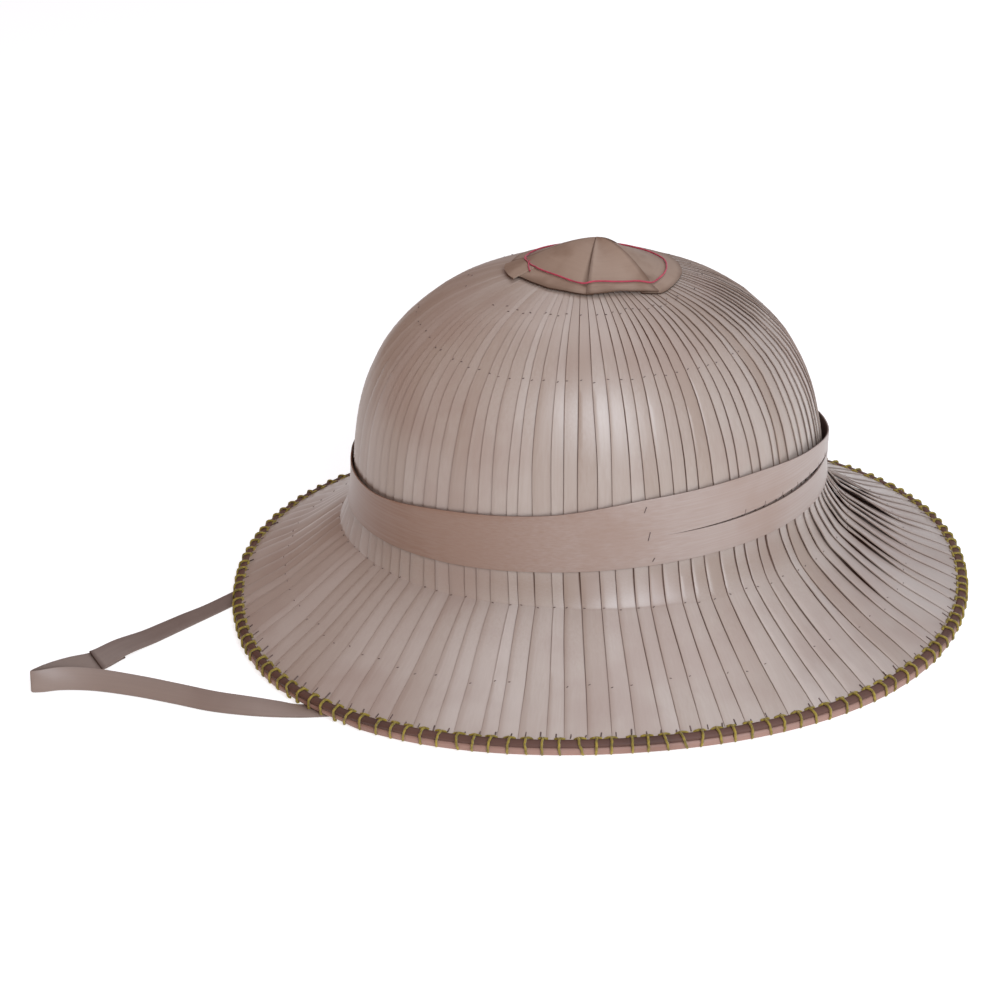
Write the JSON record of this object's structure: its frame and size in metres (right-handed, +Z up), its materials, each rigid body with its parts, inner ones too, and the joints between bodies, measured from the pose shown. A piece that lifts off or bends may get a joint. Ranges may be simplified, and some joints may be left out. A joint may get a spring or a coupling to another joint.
{
  "type": "pith helmet",
  "caption": "Palm-leaf sun hat in the pith-helmet shape: domed crown and sloping brim of lapped strips, leaf band, lashed bamboo rim, pleated top cap and loose chin strap.",
  "frame": {"origin": "on the floor under the middle of the rim's box", "axes": "+Z up out of the crown, +X along the hat's length towards the split side of the band, -Y towards the side the picture looks at"},
  "size_m": [0.3926, 0.2906, 0.157],
  "materials": {
    "palm_leaf": "dried palm leaf, satin",
    "cap_leaf": "dried palm leaf, folded, matt",
    "band_leaf": "smooth dried palm leaf, satin",
    "split_bamboo": "scraped split bamboo, satin",
    "dark_binding": "dark dried leaf, matt",
    "strap_leaf": "dried palm leaf ribbon, satin",
    "gold_thread": "waxed lashing thread",
    "red_thread": "sewing thread",
    "sewing_thread": "dark sewing thread"
  },
  "bodies": {
    "root": {"leaf_shell": "palm_leaf", "top_cap": "cap_leaf", "hat_band": "band_leaf", "rim_hoop": "split_bamboo", "rim_binding": "dark_binding", "chin_strap_front": "strap_leaf", "chin_strap_back": "strap_leaf"}
  },
  "joints": []
}
